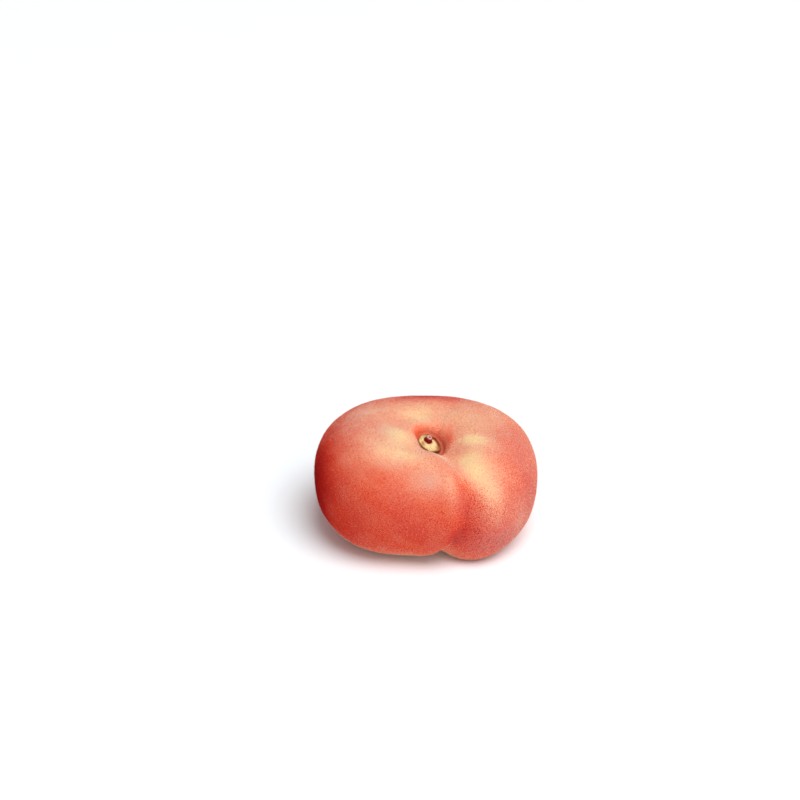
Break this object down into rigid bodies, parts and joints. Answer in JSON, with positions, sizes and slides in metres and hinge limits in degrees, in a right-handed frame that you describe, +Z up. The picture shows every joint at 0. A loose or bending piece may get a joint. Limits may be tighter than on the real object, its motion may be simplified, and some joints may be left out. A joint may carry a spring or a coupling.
{
  "type": "peach",
  "caption": "Flat doughnut-shaped peach with a fuzzy blushed skin, a deep suture down its front, and a dry stem scar sunk in the hollow on top.",
  "frame": {"origin": "middle of the fruit's outline, at the level of the three flat spots it rests on", "axes": "+Z up along the core, -Y towards the front, where the suture runs down; +X to the right seen from the front"},
  "size_m": [0.0708, 0.0646, 0.0362],
  "materials": {
    "fruit_skin": "matte",
    "dry_stem": "matte"
  },
  "bodies": {
    "root": {"fruit": "fruit_skin", "stem_stub": "dry_stem"}
  },
  "joints": []
}
